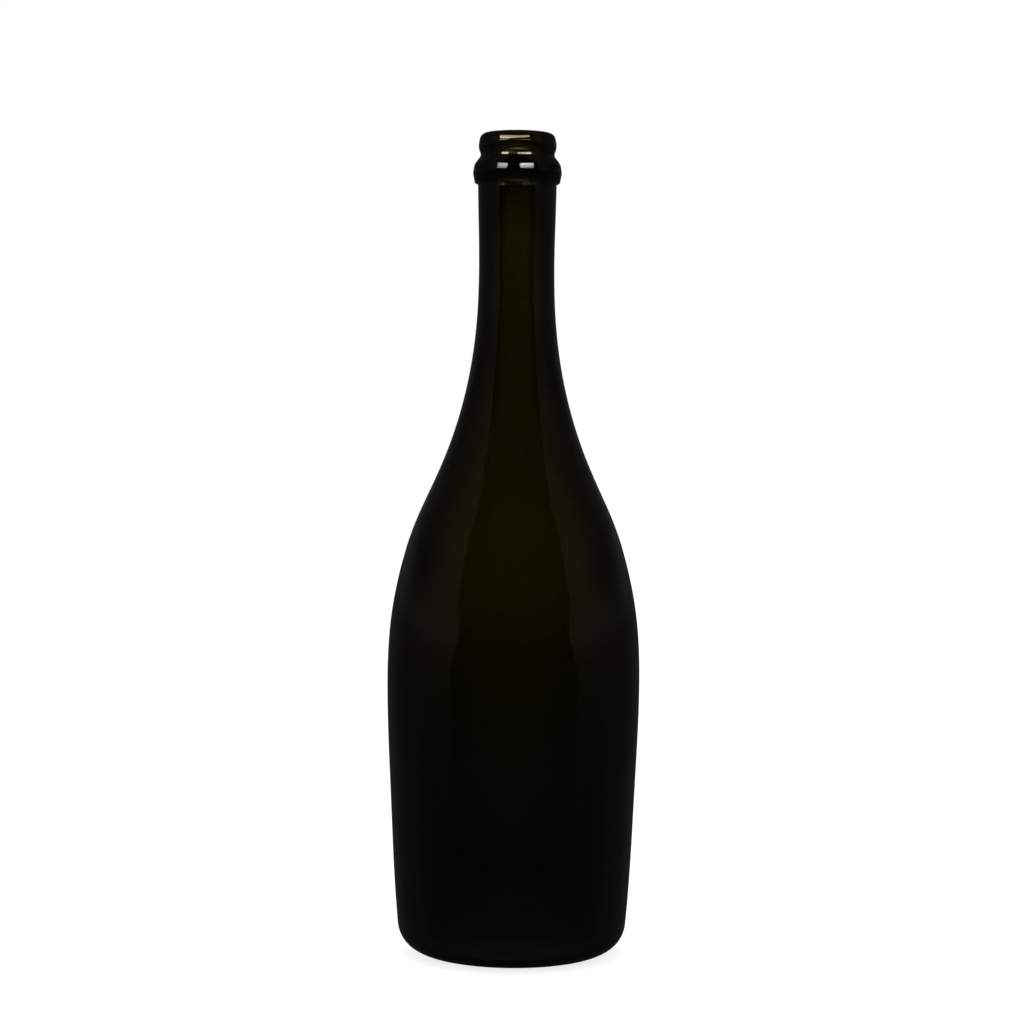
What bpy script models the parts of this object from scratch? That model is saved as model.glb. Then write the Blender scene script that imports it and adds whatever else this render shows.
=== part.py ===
"""An empty, open 75 cl sparkling-wine bottle of dark amber glass.

One turned body: a bead and a transfer ring round the mouth, a slim neck that flares into
long shoulders, a belly that is widest a third of the way up and tapers down to a rounded
heel, and a push-up in the base. Z is the axis, and the bearing ring stands on Z = 0.
"""

import math

import bmesh
import bpy
import numpy as np
from mathutils import Matrix, Vector

MM = 0.001

# Driving dimensions in millimetres. A corner is (radius from the axis, height, fillet).
HEIGHT = 303.5

# Outside of the finish, as radius, depth below the rim and fillet
LIP = (13.62, 0.0, 2.6)
BEAD = (14.60, 5.46, 5.6)
WAIST = (13.33, 8.2, 1.9)
RING_TOP = (15.90, 11.42, 4.4)
RING_EDGE = (16.42, 14.65, 2.0)
RING_FOOT = (15.72, 18.6, 0.9)
NECK_TOP = (14.55, 18.7, 0.5)

# Body from the heel up to the ring: height, outside radius and wall thickness
BODY = (
    (14.0, 42.60, 7.2),
    (60.0, 45.30, 6.0),
    (100.0, 46.75, 5.6),
    (125.0, 45.50, 5.5),
    (145.0, 41.60, 5.4),
    (160.0, 36.75, 5.3),
    (172.0, 31.40, 5.2),
    (184.0, 26.15, 5.1),
    (200.0, 20.70, 5.0),
    (225.0, 15.60, 4.7),
    (250.0, 13.97, 4.5),
    (HEIGHT - NECK_TOP[1], NECK_TOP[0], 5.5),
)
BANDS_PER_STATION = 2

# Heel, bearing ring and push-up
HEEL = (41.8, 5.1, 11.5)
HEEL_FOOT = (33.0, 0.0, 14.5)
BEARING_EDGE = (25.0, 0.0, 1.6)
PUSH_UP_SHOULDER = (11.0, 24.0, 12.0)
PUSH_UP_HEIGHT = 26.5

# Inside of the mouth, as radius, depth below the rim and fillet, and of the floor
MOUTH = (8.75, 0.0, 1.8)
INNER_HEEL = (35.4, 7.8, 4.8)
GUTTER = (27.4, 7.6, 4.5)
FLOOR_SHOULDER = (12.5, 34.0, 12.0)
FLOOR_HEIGHT = 36.5

STEPS_ROUND = 48
FILLET_STEP = math.radians(24)
SAME_POINT = 0.00001

GLASS_COLOUR = (0.030, 0.021, 0.004, 1.0)
GLASS_ROUGHNESS = 0.03
GLASS_IOR = 1.52


def below_rim(corner):
    """A corner given by its depth below the rim, as radius, height and fillet."""
    radius, depth, fillet = corner
    return (radius, HEIGHT - depth, fillet)


def plain(radius, height):
    """A corner with no fillet."""
    return (radius, height, 0.0)


def rounded(corners):
    """The outline through these corners, each one but the ends rounded by an arc."""
    points = [Vector(corners[0][:2])]
    for before, corner, after in zip(corners, corners[1:], corners[2:]):
        apex = Vector(corner[:2])
        fillet = corner[2]
        to_before = (Vector(before[:2]) - apex).normalized()
        to_after = (Vector(after[:2]) - apex).normalized()
        half = to_before.angle(to_after) / 2
        if fillet == 0.0:
            points.append(apex)
            continue
        centre = apex + (to_before + to_after).normalized() * fillet / math.sin(half)
        start = apex + to_before * fillet / math.tan(half) - centre
        turn = math.copysign(math.pi - 2 * half, to_before.cross(to_after) * -1)
        pieces = max(2, math.ceil(abs(turn) / FILLET_STEP))
        for piece in range(pieces + 1):
            points.append(centre + Matrix.Rotation(turn * piece / pieces, 2) @ start)
    points.append(Vector(corners[-1][:2]))
    return points


def through(heights, values, wanted, first_slope, last_slope):
    """The cubic spline through these values, with its slope given at both ends."""
    gaps = np.diff(heights)
    rises = np.diff(values) / gaps
    matrix = np.eye(len(heights))
    right = np.array([first_slope, *np.zeros(len(heights) - 2), last_slope])
    for i in range(1, len(heights) - 1):
        matrix[i, i - 1 : i + 2] = gaps[i], 2 * (gaps[i - 1] + gaps[i]), gaps[i - 1]
        right[i] = 3 * (gaps[i] * rises[i - 1] + gaps[i - 1] * rises[i])
    slopes = np.linalg.solve(matrix, right)
    span = np.clip(np.searchsorted(heights, wanted) - 1, 0, len(gaps) - 1)
    gap = gaps[span]
    part = (wanted - heights[span]) / gap
    start = values[span] * (1 + 2 * part) * (1 - part) ** 2
    start += gap * slopes[span] * part * (1 - part) ** 2
    end = values[span + 1] * part**2 * (3 - 2 * part)
    end -= gap * slopes[span + 1] * part**2 * (1 - part)
    return start + end


def wall_lines():
    """The outside and the inside of the body, as points from the heel up to the ring."""
    heights, outside, wall = np.array(BODY).T
    steps = np.arange((len(heights) - 1) * BANDS_PER_STATION + 1) / BANDS_PER_STATION
    wanted = np.interp(steps, np.arange(len(heights)), heights)
    heel_slope = (outside[0] - HEEL[0]) / (heights[0] - HEEL[1])
    neck_slope = (outside[-1] - outside[-2]) / (heights[-1] - heights[-2])
    outer = through(heights, outside, wanted, heel_slope, neck_slope)
    inner = outer - through(heights, wall, wanted, 0.0, 0.0)
    return (
        [plain(radius, height) for radius, height in zip(outer, wanted)],
        [plain(radius, height) for radius, height in zip(inner, wanted)],
    )


def bottle_outline():
    """Half the section: up the inside from the floor, over the rim and down the outside."""
    outer, inner = wall_lines()
    inside = [plain(0.0, FLOOR_HEIGHT), FLOOR_SHOULDER, GUTTER, INNER_HEEL]
    inside += inner
    finish = [below_rim(corner) for corner in (MOUTH, LIP, BEAD, WAIST)]
    finish += [below_rim(corner) for corner in (RING_TOP, RING_EDGE, RING_FOOT, NECK_TOP)]
    outside = list(reversed(outer))[1:]
    base = [HEEL, HEEL_FOOT, BEARING_EDGE, PUSH_UP_SHOULDER, plain(0.0, PUSH_UP_HEIGHT)]
    return rounded(inside + finish + outside + base)


def dark_glass():
    """Dark amber glass that is all but black where it is thick."""
    material = bpy.data.materials.new("dark amber glass")
    material.use_nodes = True
    shader = material.node_tree.nodes["Principled BSDF"]
    shader.inputs["Base Color"].default_value = GLASS_COLOUR
    shader.inputs["Metallic"].default_value = 0.0
    shader.inputs["Roughness"].default_value = GLASS_ROUGHNESS
    shader.inputs["IOR"].default_value = GLASS_IOR
    shader.inputs["Transmission Weight"].default_value = 1.0
    material.diffuse_color = GLASS_COLOUR
    return material


def turned(name, outline, material, collection):
    """The outline turned once round Z."""
    drawing = bmesh.new()
    points = [drawing.verts.new((p.x * MM, 0.0, p.y * MM)) for p in outline]
    for lower, upper in zip(points, points[1:]):
        drawing.edges.new((lower, upper))
    mesh = bpy.data.meshes.new(name)
    drawing.to_mesh(mesh)
    drawing.free()
    mesh.materials.append(material)
    piece = bpy.data.objects.new(name, mesh)
    collection.objects.link(piece)
    screw = piece.modifiers.new("turned round the axis", "SCREW")
    screw.axis = "Z"
    screw.angle = math.tau
    screw.steps = STEPS_ROUND
    screw.render_steps = STEPS_ROUND
    screw.use_merge_vertices = True
    screw.merge_threshold = SAME_POINT
    screw.use_smooth_shade = True
    return piece


def main():
    for leftover in list(bpy.data.objects):
        bpy.data.objects.remove(leftover, do_unlink=True)
    collection = bpy.data.collections.new("sparkling wine bottle")
    bpy.context.scene.collection.children.link(collection)
    turned("bottle", bottle_outline(), dark_glass(), collection)


main()
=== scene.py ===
"""Looks of an empty, open sparkling-wine bottle of dark amber glass.

The glass is one fine turned shell, swept by geometry nodes from half of the bottle's section,
with the draw marks, mould seams and stippled bearing ring of moulded glass. It stands on a
pale floor in a white studio, and small lamps light the rings of its mouth.
"""

import math

import bpy
import numpy as np
from mathutils import Matrix, Vector


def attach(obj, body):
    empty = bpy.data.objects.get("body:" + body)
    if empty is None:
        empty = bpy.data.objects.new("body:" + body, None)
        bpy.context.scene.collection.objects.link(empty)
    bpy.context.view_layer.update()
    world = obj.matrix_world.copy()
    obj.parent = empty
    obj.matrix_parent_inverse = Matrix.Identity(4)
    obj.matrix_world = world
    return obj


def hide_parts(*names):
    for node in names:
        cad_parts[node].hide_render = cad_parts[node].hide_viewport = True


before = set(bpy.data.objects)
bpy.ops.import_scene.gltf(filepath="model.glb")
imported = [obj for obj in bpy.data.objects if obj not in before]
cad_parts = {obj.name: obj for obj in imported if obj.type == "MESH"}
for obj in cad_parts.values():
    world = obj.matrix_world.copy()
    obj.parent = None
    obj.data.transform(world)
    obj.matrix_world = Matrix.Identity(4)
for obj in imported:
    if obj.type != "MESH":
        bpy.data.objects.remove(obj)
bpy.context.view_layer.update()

MM = 0.001

# Section of the bottle in millimetres. A corner is (radius, height, fillet)
HEIGHT = 303.5
# Outside of the finish and the inside of the mouth, by their depth below the rim
LIP = (13.62, 0.0, 2.6)
BEAD = (14.60, 5.46, 5.6)
WAIST = (13.33, 8.2, 1.9)
RING_TOP = (15.90, 11.42, 4.4)
RING_EDGE = (16.42, 14.65, 2.0)
RING_FOOT = (15.72, 18.6, 0.9)
NECK_TOP = (14.55, 18.7, 0.5)
MOUTH = (8.75, 0.0, 1.8)
# Body from the heel up to the ring: height, outside radius and wall thickness
BODY = (
    (14.0, 42.60, 7.2),
    (60.0, 45.30, 6.0),
    (100.0, 46.75, 5.6),
    (125.0, 45.50, 5.5),
    (145.0, 41.60, 5.4),
    (160.0, 36.75, 5.3),
    (172.0, 31.40, 5.2),
    (184.0, 26.15, 5.1),
    (200.0, 20.70, 5.0),
    (225.0, 15.60, 4.7),
    (250.0, 13.97, 4.5),
    (HEIGHT - NECK_TOP[1], NECK_TOP[0], 5.5),
)
# Heel, bearing ring, push-up and floor: the bottle stands on the stippling under its ring
STIPPLE_DEPTH = 0.25
HEEL = (41.8, 5.1, 11.5)
HEEL_FOOT = (33.0, STIPPLE_DEPTH, 14.5)
BEARING_EDGE = (25.0, STIPPLE_DEPTH, 1.6)
PUSH_UP_SHOULDER = (11.0, 24.0, 12.0)
PUSH_UP_HEIGHT = 26.5
INNER_HEEL = (35.4, 7.8, 4.8)
GUTTER = (27.4, 7.6, 4.5)
FLOOR_SHOULDER = (12.5, 34.0, 12.0)
FLOOR_HEIGHT = 36.5

BAND = 1.5
FILLET_STEP = math.radians(6)
STEPS_ROUND = 160


def plain(radius, height):
    """A corner with no fillet."""
    return (radius, height, 0.0)


def below_rim(corner):
    """A corner given by its depth below the rim, as radius, height and fillet."""
    radius, depth, fillet = corner
    return (radius, HEIGHT - depth, fillet)


def rounded(corners):
    """The outline through these corners, each one but the ends rounded by an arc."""
    points = [Vector(corners[0][:2])]
    for before, corner, after in zip(corners, corners[1:], corners[2:]):
        apex = Vector(corner[:2])
        fillet = corner[2]
        to_before = (Vector(before[:2]) - apex).normalized()
        to_after = (Vector(after[:2]) - apex).normalized()
        half = to_before.angle(to_after) / 2
        if fillet == 0.0:
            points.append(apex)
            continue
        centre = apex + (to_before + to_after).normalized() * fillet / math.sin(half)
        start = apex + to_before * fillet / math.tan(half) - centre
        turn = math.copysign(math.pi - 2 * half, to_before.cross(to_after) * -1)
        pieces = max(2, math.ceil(abs(turn) / FILLET_STEP))
        for piece in range(pieces + 1):
            points.append(centre + Matrix.Rotation(turn * piece / pieces, 2) @ start)
    points.append(Vector(corners[-1][:2]))
    return points


def through(heights, values, wanted, first_slope, last_slope):
    """The cubic spline through these values, with its slope given at both ends."""
    gaps = np.diff(heights)
    rises = np.diff(values) / gaps
    matrix = np.eye(len(heights))
    right = np.array([first_slope, *np.zeros(len(heights) - 2), last_slope])
    for i in range(1, len(heights) - 1):
        matrix[i, i - 1 : i + 2] = gaps[i], 2 * (gaps[i - 1] + gaps[i]), gaps[i - 1]
        right[i] = 3 * (gaps[i] * rises[i - 1] + gaps[i - 1] * rises[i])
    slopes = np.linalg.solve(matrix, right)
    span = np.clip(np.searchsorted(heights, wanted) - 1, 0, len(gaps) - 1)
    gap = gaps[span]
    part = (wanted - heights[span]) / gap
    start = values[span] * (1 + 2 * part) * (1 - part) ** 2
    start += gap * slopes[span] * part * (1 - part) ** 2
    end = values[span + 1] * part**2 * (3 - 2 * part)
    end -= gap * slopes[span + 1] * part**2 * (1 - part)
    return start + end


def wall_lines():
    """The outside and the inside of the body, as corners from the heel up to the ring."""
    heights, outside, wall = np.array(BODY).T
    wanted = np.linspace(heights[0], heights[-1], round((heights[-1] - heights[0]) / BAND) + 1)
    heel_slope = (outside[0] - HEEL[0]) / (heights[0] - HEEL[1])
    neck_slope = (outside[-1] - outside[-2]) / (heights[-1] - heights[-2])
    outer = through(heights, outside, wanted, heel_slope, neck_slope)
    inner = outer - through(heights, wall, wanted, 0.0, 0.0)
    return (
        [plain(radius, height) for radius, height in zip(outer, wanted)],
        [plain(radius, height) for radius, height in zip(inner, wanted)],
    )


def bottle_outline():
    """Half the section: up the inside from the floor, over the rim and down the outside."""
    outer, inner = wall_lines()
    inside = [plain(0.0, FLOOR_HEIGHT), FLOOR_SHOULDER, GUTTER, INNER_HEEL]
    inside += inner
    finish = [below_rim(corner) for corner in (MOUTH, LIP, BEAD, WAIST)]
    finish += [below_rim(corner) for corner in (RING_TOP, RING_EDGE, RING_FOOT, NECK_TOP)]
    outside = list(reversed(outer))[1:]
    base = [HEEL, HEEL_FOOT, BEARING_EDGE, PUSH_UP_SHOULDER, plain(0.0, PUSH_UP_HEIGHT)]
    return rounded(inside + finish + outside + base)


class Tree:
    """A node tree that is built line by line: add makes a node, link joins two sockets."""

    def __init__(self, tree):
        self.tree = tree

    def add(self, kind, settings=None, **inputs):
        node = self.tree.nodes.new(kind)
        for name, value in (settings or {}).items():
            setattr(node, name, value)
        for name, value in inputs.items():
            self.put(value, node.inputs[name.replace("_", " ")])
        return node

    def link(self, output, socket):
        self.tree.links.new(output, socket)

    def put(self, value, socket):
        """Gives the socket this number, colour or vector, or links it to this output."""
        if isinstance(value, bpy.types.NodeSocket):
            self.link(value, socket)
        else:
            socket.default_value = value

    def math(self, operation, first, second=0.0):
        node = self.add("ShaderNodeMath", {"operation": operation})
        self.put(first, node.inputs[0])
        self.put(second, node.inputs[1])
        return node.outputs[0]

    def smooth(self, value, low, high, bottom=0.0, top=1.0):
        """value from low to high, taken smoothly from bottom to top."""
        node = self.add("ShaderNodeMapRange", {"interpolation_type": "SMOOTHSTEP"}, Value=value)
        node.inputs["From Min"].default_value = low
        node.inputs["From Max"].default_value = high
        node.inputs["To Min"].default_value = bottom
        node.inputs["To Max"].default_value = top
        return node.outputs["Result"]

    def levels(self, value, stops):
        """The level or colour at value, along straight lines through the stops (value, level)."""
        low, high = stops[0][0], stops[-1][0]
        place = self.add("ShaderNodeMapRange", Value=value)
        place.inputs["From Min"].default_value = low
        place.inputs["From Max"].default_value = high
        ramp = self.add("ShaderNodeValToRGB", Fac=place.outputs["Result"])
        elements = ramp.color_ramp.elements
        for at, level in stops[1:-1]:
            elements.new((at - low) / (high - low)).color = (*np.resize(level, 3), 1.0)
        for element, (at, level) in zip((elements[0], elements[-1]), (stops[0], stops[-1])):
            element.color = (*np.resize(level, 3), 1.0)
        return ramp.outputs["Color"]

    def vector(self, operation, first, second=(0.0, 0.0, 0.0)):
        """A vector operation on one or two vectors, or on a vector and a scale."""
        node = self.add("ShaderNodeVectorMath", {"operation": operation})
        self.put(first, node.inputs[0])
        self.put(second, node.inputs["Scale" if operation == "SCALE" else 1])
        return node.outputs["Vector"]

    def mix(self, factor, first, second, kind="FLOAT"):
        """From first to second by the factor, as numbers or, with kind RGBA, as colours."""
        node = self.add("ShaderNodeMix", {"data_type": kind})
        start, end, mixed = (6, 7, 2) if kind == "RGBA" else (2, 3, 0)
        self.put(factor, node.inputs[0])
        self.put(first, node.inputs[start])
        self.put(second, node.inputs[end])
        return node.outputs[mixed]


def new_group(name, kind, inputs, outputs):
    """A node group with these sockets, as (name, type, default), and its two ends."""
    group = bpy.data.node_groups.new(name, kind)
    for label, socket_type, value in inputs:
        socket = group.interface.new_socket(name=label, in_out="INPUT", socket_type=socket_type)
        if value is not None:
            socket.default_value = value
    for label, socket_type in outputs:
        group.interface.new_socket(name=label, in_out="OUTPUT", socket_type=socket_type)
    tree = Tree(group)
    return tree, tree.add("NodeGroupInput"), tree.add("NodeGroupOutput")


# Geometry

RAIL_RADIUS = 0.05
POLE_GAP = 0.00001
# Above every value of the noise, so that the ripple only goes inwards
RIPPLE_CREST = 0.85
PEARL_SHAPE = 0.4


def turned_glass_tree():
    """Sweeps the section round Z, closes the poles, and lets the glass ripple a little."""
    tree, given, result = new_group(
        "turned glass",
        "GeometryNodeTree",
        [
            ("Section", "NodeSocketGeometry", None),
            ("Steps Round", "NodeSocketInt", 64),
            ("Ripple Depth", "NodeSocketFloat", 0.0),
            ("Ripple Size", "NodeSocketFloat", 0.03),
            ("Stipple Count", "NodeSocketInt", 60),
            ("Stipple Radius", "NodeSocketFloat", 0.0275),
            ("Stipple Length", "NodeSocketFloat", 0.0012),
            ("Stipple Height", "NodeSocketFloat", 0.0003),
            ("Glass", "NodeSocketMaterial", None),
        ],
        [("Geometry", "NodeSocketGeometry")],
    )
    rail = tree.add("GeometryNodeCurvePrimitiveCircle", {"mode": "RADIUS"}, Radius=RAIL_RADIUS)
    tree.link(given.outputs["Steps Round"], rail.inputs["Resolution"])
    upright = tree.add("GeometryNodeSetCurveNormal", {"mode": "Z_UP"}, Curve=rail.outputs["Curve"])
    section = tree.add("GeometryNodeMeshToCurve", Mesh=given.outputs["Section"])
    swept = tree.add("GeometryNodeCurveToMesh", Curve=upright.outputs["Curve"])
    tree.link(section.outputs["Curve"], swept.inputs["Profile Curve"])
    closed = tree.add("GeometryNodeMergeByDistance", Distance=POLE_GAP)
    tree.link(swept.outputs["Mesh"], closed.inputs["Geometry"])

    place = tree.add("GeometryNodeInputPosition").outputs["Position"]
    ripple = tree.add("ShaderNodeTexNoise", Vector=place, Detail=1.0)
    tree.link(tree.math("DIVIDE", 1.0, given.outputs["Ripple Size"]), ripple.inputs["Scale"])
    swell = tree.math("SUBTRACT", ripple.outputs["Fac"], RIPPLE_CREST)
    depth = tree.math("MULTIPLY", swell, given.outputs["Ripple Depth"])
    level = tree.vector("MULTIPLY", place, (1.0, 1.0, 0.0))
    outwards = tree.vector("NORMALIZE", level)
    rippled = tree.add("GeometryNodeSetPosition", Geometry=closed.outputs["Geometry"])
    tree.link(tree.vector("SCALE", outwards, depth), rippled.inputs["Offset"])

    ring = tree.add("GeometryNodeMeshCircle")
    tree.link(given.outputs["Stipple Count"], ring.inputs["Vertices"])
    tree.link(given.outputs["Stipple Radius"], ring.inputs["Radius"])
    lift = tree.add("ShaderNodeCombineXYZ", Z=given.outputs["Stipple Height"])
    lifted = tree.add("GeometryNodeSetPosition", Geometry=ring.outputs["Mesh"])
    tree.link(lift.outputs["Vector"], lifted.inputs["Offset"])
    index = tree.add("GeometryNodeInputIndex").outputs["Index"]
    share = tree.math("DIVIDE", index, given.outputs["Stipple Count"])
    facing = tree.add("ShaderNodeCombineXYZ", Z=tree.math("MULTIPLY", share, math.tau))
    width = tree.math("MULTIPLY", given.outputs["Stipple Length"], PEARL_SHAPE)
    size = tree.add("ShaderNodeCombineXYZ", X=given.outputs["Stipple Length"], Y=width)
    tree.link(given.outputs["Stipple Height"], size.inputs["Z"])
    pearl = tree.add("GeometryNodeMeshIcoSphere", Radius=1.0, Subdivisions=2)
    pearls = tree.add("GeometryNodeInstanceOnPoints", Points=lifted.outputs["Geometry"])
    tree.link(pearl.outputs["Mesh"], pearls.inputs["Instance"])
    tree.link(facing.outputs["Vector"], pearls.inputs["Rotation"])
    tree.link(size.outputs["Vector"], pearls.inputs["Scale"])
    both = tree.add("GeometryNodeJoinGeometry")
    tree.link(pearls.outputs["Instances"], both.inputs["Geometry"])
    tree.link(rippled.outputs["Geometry"], both.inputs["Geometry"])
    smooth = tree.add("GeometryNodeSetShadeSmooth", Geometry=both.outputs["Geometry"])
    real = tree.add("GeometryNodeRealizeInstances", Geometry=smooth.outputs["Geometry"])
    glazed = tree.add("GeometryNodeSetMaterial", Geometry=real.outputs["Geometry"])
    tree.link(given.outputs["Glass"], glazed.inputs["Material"])
    tree.link(glazed.outputs["Geometry"], result.inputs["Geometry"])
    return tree.tree


def section_object(outline):
    """The half section as a string of edges, laid out as the sweep reads it."""
    mesh = bpy.data.meshes.new("half section")
    points = [(p.x * MM - RAIL_RADIUS, -p.y * MM, 0.0) for p in outline]
    mesh.from_pydata(points, [(i, i + 1) for i in range(len(points) - 1)], [])
    section = bpy.data.objects.new("half section", mesh)
    bpy.context.scene.collection.objects.link(section)
    return section


def shaped(name, start, tree, material, **sizes):
    """The plain mesh that this geometry node tree makes of start, under a new object."""
    modifier = start.modifiers.new("shape", "NODES")
    modifier.node_group = tree
    wanted = {"glass": material, **sizes}
    for item in tree.interface.items_tree:
        label = item.name.replace(" ", "_").lower()
        if item.in_out == "INPUT" and label in wanted:
            modifier[item.identifier] = wanted[label]
    evaluated = start.evaluated_get(bpy.context.evaluated_depsgraph_get())
    mesh = bpy.data.meshes.new_from_object(evaluated)
    mesh.name = name
    bpy.data.objects.remove(start, do_unlink=True)
    piece = bpy.data.objects.new(name, mesh)
    bpy.context.scene.collection.objects.link(piece)
    return piece


# Materials

# What a millimetre of glass takes from red, green and blue
ABSORPTION = (0.456, 0.476, 0.720)
GLASS_IOR = 1.52
SEAM_WIDTH = 0.3
SEAM_HEIGHT = 0.05
BASE_LINE = 5.0
NECK_LINE = 283.6


def draw_marks():
    """Height in millimetres of the long, shallow marks that blowing leaves down the glass."""
    tree, given, result = new_group(
        "draw marks",
        "ShaderNodeTree",
        [("Depth", "NodeSocketFloat", 0.01), ("Scale", "NodeSocketFloat", 300.0)],
        [("Height", "NodeSocketFloat")],
    )
    place = tree.add("ShaderNodeTexCoord").outputs["Object"]
    drawn = tree.add("ShaderNodeMapping", Vector=place, Scale=(1.0, 1.0, 0.16))
    marks = tree.add("ShaderNodeTexNoise", Vector=drawn.outputs["Vector"], Detail=2.0, Roughness=0.4)
    tree.link(given.outputs["Scale"], marks.inputs["Scale"])
    height = tree.math("MULTIPLY", marks.outputs["Fac"], given.outputs["Depth"])
    tree.link(height, result.inputs["Height"])
    return tree.tree


def mould_seams():
    """Height in millimetres of the seams: down both sides, round the heel and under the ring."""
    tree, given, result = new_group(
        "mould seams",
        "ShaderNodeTree",
        [("Width", "NodeSocketFloat", SEAM_WIDTH), ("Height", "NodeSocketFloat", SEAM_HEIGHT)],
        [("Height", "NodeSocketFloat")],
    )
    place = tree.add("ShaderNodeTexCoord").outputs["Object"]
    across, along, up = tree.add("ShaderNodeSeparateXYZ", Vector=place).outputs
    half = tree.math("MULTIPLY", given.outputs["Width"], MM / 2)

    def ridge(distance):
        near = tree.math("DIVIDE", tree.math("ABSOLUTE", distance), half)
        return tree.smooth(near, 0.0, 1.0, 1.0, 0.0)

    standing = tree.smooth(up, BASE_LINE * MM, (BASE_LINE + 1) * MM)
    down_sides = tree.math("MULTIPLY", ridge(along), standing)
    round_heel = ridge(tree.math("SUBTRACT", up, BASE_LINE * MM))
    round_neck = ridge(tree.math("SUBTRACT", up, NECK_LINE * MM))
    highest = tree.math("MAXIMUM", down_sides, tree.math("MAXIMUM", round_heel, round_neck))
    tree.link(tree.math("MULTIPLY", highest, given.outputs["Height"]), result.inputs["Height"])
    return tree.tree


def haze():
    """Roughness of the glass: polished, with faint cloudy patches."""
    tree, given, result = new_group(
        "haze",
        "ShaderNodeTree",
        [("Polished", "NodeSocketFloat", 0.014), ("Cloudy", "NodeSocketFloat", 0.04)],
        [("Roughness", "NodeSocketFloat")],
    )
    place = tree.add("ShaderNodeTexCoord").outputs["Object"]
    clouds = tree.add("ShaderNodeTexNoise", Vector=place, Scale=35.0, Detail=5.0, Roughness=0.6)
    cloudy = tree.smooth(clouds.outputs["Fac"], 0.45, 0.75)
    spread = tree.math("SUBTRACT", given.outputs["Cloudy"], given.outputs["Polished"])
    rough = tree.math("ADD", given.outputs["Polished"], tree.math("MULTIPLY", cloudy, spread))
    tree.link(rough, result.inputs["Roughness"])
    return tree.tree


def cords():
    """Colour of the glass: streaks of a slightly deeper tint that run down the bottle."""
    tree, given, result = new_group(
        "cords",
        "ShaderNodeTree",
        [
            ("Clear", "NodeSocketColor", (1.0, 1.0, 1.0, 1.0)),
            ("Deep", "NodeSocketColor", (0.95, 0.94, 0.9, 1.0)),
        ],
        [("Colour", "NodeSocketColor")],
    )
    place = tree.add("ShaderNodeTexCoord").outputs["Object"]
    drawn = tree.add("ShaderNodeMapping", Vector=place, Scale=(1.0, 1.0, 0.1))
    streaks = tree.add("ShaderNodeTexNoise", Vector=drawn.outputs["Vector"], Scale=90.0, Detail=3.0)
    streaky = tree.smooth(streaks.outputs["Fac"], 0.4, 0.7)
    tint = tree.mix(streaky, given.outputs["Clear"], given.outputs["Deep"], "RGBA")
    tree.link(tint, result.inputs["Colour"])
    return tree.tree


def dark_glass():
    """Dark amber glass: its own colour comes from its depth."""
    material = bpy.data.materials.new("dark amber glass")
    material.use_nodes = True
    tree = Tree(material.node_tree)
    shader = material.node_tree.nodes["Principled BSDF"]
    output = material.node_tree.nodes["Material Output"]
    shader.inputs["Metallic"].default_value = 0.0
    shader.inputs["IOR"].default_value = GLASS_IOR
    shader.inputs["Transmission Weight"].default_value = 1.0
    tint = tree.add("ShaderNodeGroup", {"node_tree": cords()})
    tree.link(tint.outputs["Colour"], shader.inputs["Base Color"])
    cloud = tree.add("ShaderNodeGroup", {"node_tree": haze()})
    tree.link(cloud.outputs["Roughness"], shader.inputs["Roughness"])
    marks = tree.add("ShaderNodeGroup", {"node_tree": draw_marks()})
    seams = tree.add("ShaderNodeGroup", {"node_tree": mould_seams()})
    height = tree.math("ADD", marks.outputs["Height"], seams.outputs["Height"])
    relief = tree.add("ShaderNodeBump", Strength=1.0, Distance=MM, Height=height)
    tree.link(relief.outputs["Normal"], shader.inputs["Normal"])
    density = max(ABSORPTION)
    body = tree.add("ShaderNodeVolumeAbsorption", Density=density / MM)
    body.inputs["Color"].default_value = (*(1 - a / density for a in ABSORPTION), 1.0)
    tree.link(body.outputs["Volume"], output.inputs["Volume"])
    return material


# Stage

FLOOR_SIZE = 6.0
FLOOR_GLOW = 0.8


def pale_surface():
    """A matt grey that glows white, for the floor."""
    material = bpy.data.materials.new("pale floor")
    material.use_nodes = True
    shader = material.node_tree.nodes["Principled BSDF"]
    shader.inputs["Base Color"].default_value = (0.4, 0.4, 0.4, 1.0)
    shader.inputs["Roughness"].default_value = 0.9
    shader.inputs["Specular IOR Level"].default_value = 0.0
    shader.inputs["Emission Color"].default_value = (1.0, 1.0, 1.0, 1.0)
    shader.inputs["Emission Strength"].default_value = FLOOR_GLOW
    material.cycles.emission_sampling = "NONE"
    return material


def floor():
    """A pale floor that the glass neither mirrors nor shows through."""
    mesh = bpy.data.meshes.new("floor")
    half = FLOOR_SIZE / 2
    corners = [(-half, -half, 0), (half, -half, 0), (half, half, 0), (-half, half, 0)]
    mesh.from_pydata(corners, [], [(0, 1, 2, 3)])
    piece = bpy.data.objects.new("floor", mesh)
    bpy.context.scene.collection.objects.link(piece)
    mesh.materials.append(pale_surface())
    piece.visible_glossy = False
    piece.visible_transmission = False


# The dark front ends at this angle from the camera, in degrees, by the sine of elevation
FRONT_ENDS = (
    (-0.05, 59), (0.0, 56), (0.03, 55), (0.06, 53), (0.12, 51.5),
    (0.18, 54), (0.26, 56), (0.36, 55), (0.65, 56),
)
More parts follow.
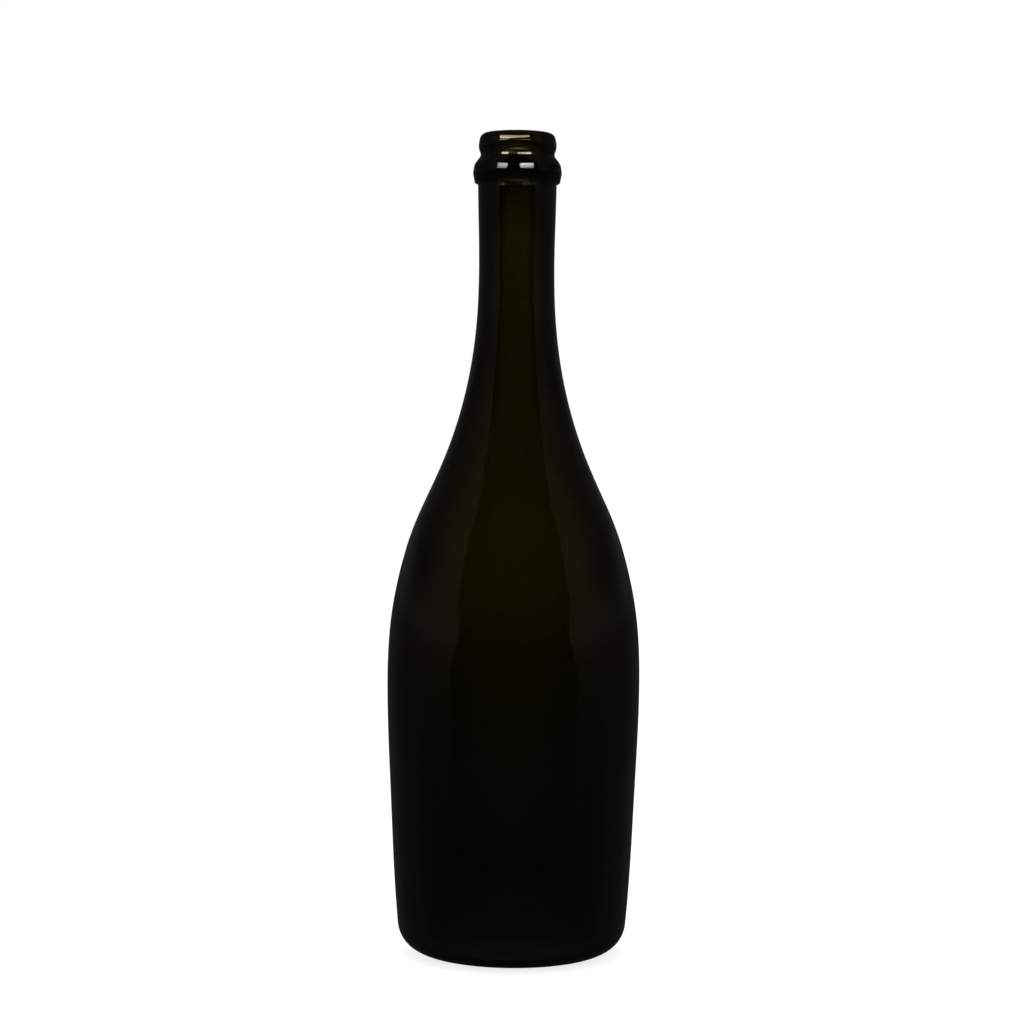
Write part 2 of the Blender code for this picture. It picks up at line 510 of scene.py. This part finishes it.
# Brightness of the walls by the angle past that end, and by the sine of elevation: in front up
# to the first of two angles past the end, and aside from the second
WALL = ((-1.5, 0.0), (1.5, 0.052), (18, 0.053), (42, 0.046), (62, 0.036), (82, 0.042), (125, 0.034))
WALL_IN_FRONT = (
    (-0.3, 0.0), (-0.2, 0.25), (-0.14, 0.52), (-0.04, 0.75), (0.03, 1.1),
    (0.07, 1.5), (0.12, 1.7), (0.2, 1.2), (0.28, 1.2), (0.41, 1.4), (0.56, 1.0), (0.7, 1.2),
)
WALL_ASIDE = (
    (-0.6, 0.0), (-0.3, 0.45), (-0.2, 0.7), (-0.05, 0.75), (0.02, 0.9),
    (0.06, 1.3), (0.12, 1.4), (0.24, 0.85), (0.4, 1.05),
)
TO_ASIDE = (15, 50)
# The walls are warmer above, from the first sine of elevation to the second, and up to an angle
WARM_LIGHT = (1.45, 1.18, 0.9, 1.0)
WARM_ABOVE = (0.15, 0.5)
WARM_ENDS = (40, 75)
# Brightness of the table by the sine of elevation and by the angle from the camera
TABLE = (
    (-1.0, 0.08), (-0.6, 0.075), (-0.45, 0.066), (-0.3, 0.046),
    (-0.26, 0.03), (-0.2, 0.018), (-0.1, 0.0),
)
TABLE_ROUND = ((0, 1.0), (60, 0.9), (100, 0.6), (130, 0.3), (180, 0.15))
TABLE_COLOUR = (0.85, 1.0, 0.78)
# Colour of the back by the sine of elevation, and its brightness by the angle from straight back
BACK = (
    (-0.2, (0.36, 0.50, 0.5)),
    (-0.17, (0.32, 0.48, 0.5)),
    (-0.14, (0.31, 0.47, 0.5)),
    (-0.12, (0.39, 0.54, 0.5)),
    (-0.106, (0.49, 0.61, 0.5)),
    (-0.097, (0.58, 0.58, 0.5)),
    (-0.088, (0.77, 0.72, 0.7)),
    (-0.08, (0.93, 0.86, 0.8)),
    (-0.068, (1.0, 0.98, 0.9)),
    (-0.058, (0.94, 0.93, 0.9)),
    (-0.047, (0.80, 0.78, 0.7)),
    (-0.036, (0.67, 0.64, 0.6)),
    (-0.02, (0.60, 0.54, 0.5)),
    (0.0, (0.62, 0.55, 0.5)),
    (0.008, (0.57, 0.49, 0.4)),
    (0.014, (0.47, 0.41, 0.4)),
    (0.05, (0.44, 0.41, 0.4)),
    (0.085, (0.50, 0.47, 0.4)),
    (0.1, (0.62, 0.58, 0.5)),
    (0.108, (0.74, 0.70, 0.6)),
    (0.116, (0.88, 0.85, 0.7)),
)
BACK_ROUND = (
    (0, 1.0), (2, 0.95), (3.3, 1.05), (6, 1.15), (8, 1.0),
    (11, 0.7), (24, 0.4), (50, 0.25), (75, 0.0),
)
# Low down the back glows all round, by the cosine of the angle from straight back, and from the
# first sine of elevation to the second this gives way to the list above
LOW_GLOW = (0.3, 0.8)
LOW_ENDS = (-0.06, -0.02)


def studio():
    """White to look at, and for the glass a dark front, pale walls, a dim table and a bright back."""
    world = bpy.data.worlds.new("studio")
    world.use_nodes = True
    tree = Tree(world.node_tree)
    background = world.node_tree.nodes["Background"]
    ray = tree.add("ShaderNodeLightPath")
    way = tree.add("ShaderNodeTexCoord").outputs["Generated"]
    across, along, up = tree.add("ShaderNodeSeparateXYZ", Vector=way).outputs
    squares = tree.math("ADD", tree.math("POWER", across, 2.0), tree.math("POWER", along, 2.0))
    ahead = tree.math("DIVIDE", along, tree.math("SQRT", squares))
    # This is 0 towards the camera and grows to either side
    turn = tree.math("ARCTAN2", across, tree.math("MULTIPLY", along, -1.0))
    turn = tree.math("DEGREES", tree.math("ABSOLUTE", turn))
    past = tree.math("SUBTRACT", turn, tree.levels(up, FRONT_ENDS))
    in_front = tree.levels(up, WALL_IN_FRONT)
    height = tree.mix(tree.smooth(past, *TO_ASIDE), in_front, tree.levels(up, WALL_ASIDE))
    walls = tree.math("MULTIPLY", tree.levels(past, WALL), height)
    above = tree.smooth(up, *WARM_ABOVE)
    warm = tree.math("MULTIPLY", above, tree.smooth(past, *WARM_ENDS, 1.0, 0.0))
    walls = tree.vector("SCALE", tree.mix(warm, (1.0, 1.0, 1.0, 1.0), WARM_LIGHT, "RGBA"), walls)
    table = tree.math("MULTIPLY", tree.levels(up, TABLE), tree.levels(turn, TABLE_ROUND))
    around = tree.vector("ADD", walls, tree.vector("SCALE", TABLE_COLOUR, table))
    from_back = tree.math("DEGREES", tree.math("ARCCOSINE", ahead))
    low = tree.smooth(ahead, *LOW_GLOW)
    spread = tree.mix(tree.smooth(up, *LOW_ENDS), low, tree.levels(from_back, BACK_ROUND))
    shown = tree.math("MULTIPLY", spread, ray.outputs["Is Transmission Ray"])
    seen = tree.vector("MAXIMUM", around, tree.vector("SCALE", tree.levels(up, BACK), shown))
    is_clear = tree.math("MAXIMUM", ray.outputs["Is Camera Ray"], ray.outputs["Is Diffuse Ray"])
    final = tree.mix(is_clear, seen, (1.0, 1.0, 1.0, 1.0), "RGBA")
    tree.link(final, background.inputs["Color"])
    background.inputs["Strength"].default_value = 1.0
    bpy.context.scene.world = world


# Lamps

WHITE = (1.0, 1.0, 1.0)
WARM = (1.0, 0.88, 0.58)


def mirrored(radius, turn, away):
    """Where on the floor plan the camera looks by way of the glass at this angle round the axis."""
    angle = math.radians(turn)
    on_glass = Vector((math.sin(angle), -math.cos(angle), 0.0)) * radius
    return on_glass + Vector((math.sin(2 * angle), -math.cos(2 * angle), 0.0)) * away


def lamp(name, middle, facing, width, height, down, spread, strength, colour):
    """A flat lamp on this side of the bottle, in degrees, that shines in and down at an angle."""
    light = bpy.data.lights.new(name, "AREA")
    light.shape = "RECTANGLE"
    light.size = width * MM
    light.size_y = height * MM / math.cos(math.radians(down))
    light.energy = strength * math.pi * light.size * light.size_y
    light.color = colour
    light.spread = math.radians(spread)
    piece = bpy.data.objects.new(name, light)
    bpy.context.scene.collection.objects.link(piece)
    # A lamp shines along its own -Z, which is first laid level and tipped down, then turned
    tipped = Matrix.Rotation(math.radians(90 - down), 4, "X")
    aimed = Matrix.Rotation(math.radians(facing), 4, "Z") @ tipped
    piece.matrix_world = Matrix.Translation(middle * MM) @ aimed
    piece.visible_camera = False
    piece.visible_diffuse = False
    piece.visible_transmission = False


def gleam(name, colour, strength, radius, away, turns, bottoms, top, down, spread):
    """Lamps end to end that one ring of the finish shows between these angles round the axis."""
    for first, last, bottom in zip(turns, turns[1:], bottoms):
        turn = (first + last) / 2
        middle = mirrored(radius, turn, away) + Vector((0.0, 0.0, (bottom + top) / 2))
        width = (mirrored(radius, last, away) - mirrored(radius, first, away)).length
        lamp(name, middle, 2 * turn, width, top - bottom, down, spread, strength, colour)


def gleams():
    """Two white windows on the ring, a warm streak on the bead and warm lines in the waist."""
    windows = {"radius": 16.2, "away": 95.5, "top": 337, "spread": 40}
    left = (-28, -23.2, -18.3, -13.5)
    right = (3.5, 8.2, 12.9, 17.6, 22.3)
    gleam("left window", WHITE, 1.3, turns=left, bottoms=(322,) * 3, down=38.5, **windows)
    gleam("right window", WHITE, 2.0, turns=right, bottoms=(322,) * 4, down=40, **windows)
    gleam(
        "warm slit",
        WARM,
        1.7,
        radius=14.2,
        away=95.0,
        turns=(-29, -23, -17, -11, -5, 1, 7, 13, 19),
        bottoms=(342.5, 342.5, 343.5, 346, 348, 348, 348, 348.4),
        top=356,
        down=11,
        spread=40,
    )
    lines = {"radius": 13.6, "away": 12.0, "top": 308.5, "down": 43, "spread": 14}
    left = (-30, -25.5, -21, -16.5, -12)
    right = (1, 5.5, 10, 14.5, 19, 23.5)
    gleam("left glow", WARM, 1.0, turns=left, bottoms=(306,) * 4, **lines)
    gleam("right glow", WARM, 1.0, turns=right, bottoms=(306,) * 5, **lines)


# Camera

CAMERA_PLACE = Vector((-1.02, -949.3, 197.31)) * MM
# In radians
CAMERA_DOWN = 0.03525
CAMERA_ROLL = 0.0080
LENS = 90.144


def camera():
    """Level with the shoulder, a little below the mouth, and tipped down by two degrees."""
    data = bpy.data.cameras.new("camera")
    data.lens = LENS
    data.sensor_width = 36.0
    data.clip_start = 0.01
    data.clip_end = 50.0
    eye = bpy.data.objects.new("camera", data)
    bpy.context.scene.collection.objects.link(eye)
    aside = Vector((1.0, 0.0, 0.0))
    ahead = Vector((0.0, math.cos(CAMERA_DOWN), -math.sin(CAMERA_DOWN)))
    above = Vector((0.0, math.sin(CAMERA_DOWN), math.cos(CAMERA_DOWN)))
    right = aside * math.cos(CAMERA_ROLL) + above * math.sin(CAMERA_ROLL)
    up = above * math.cos(CAMERA_ROLL) - aside * math.sin(CAMERA_ROLL)
    turn = Matrix((right, up, -ahead)).transposed().to_4x4()
    eye.matrix_world = Matrix.Translation(CAMERA_PLACE) @ turn
    bpy.context.scene.camera = eye


bottle = shaped(
    "fine_bottle",
    section_object(bottle_outline()),
    turned_glass_tree(),
    dark_glass(),
    steps_round=STEPS_ROUND,
    ripple_depth=0.045 * MM,
    ripple_size=12 * MM,
    stipple_count=72,
    stipple_radius=27.5 * MM,
    stipple_length=1.2 * MM,
    stipple_height=0.3 * MM,
)
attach(bottle, "root")
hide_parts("bottle")

floor()
studio()
gleams()
camera()
bpy.context.scene.view_settings.view_transform = "Standard"
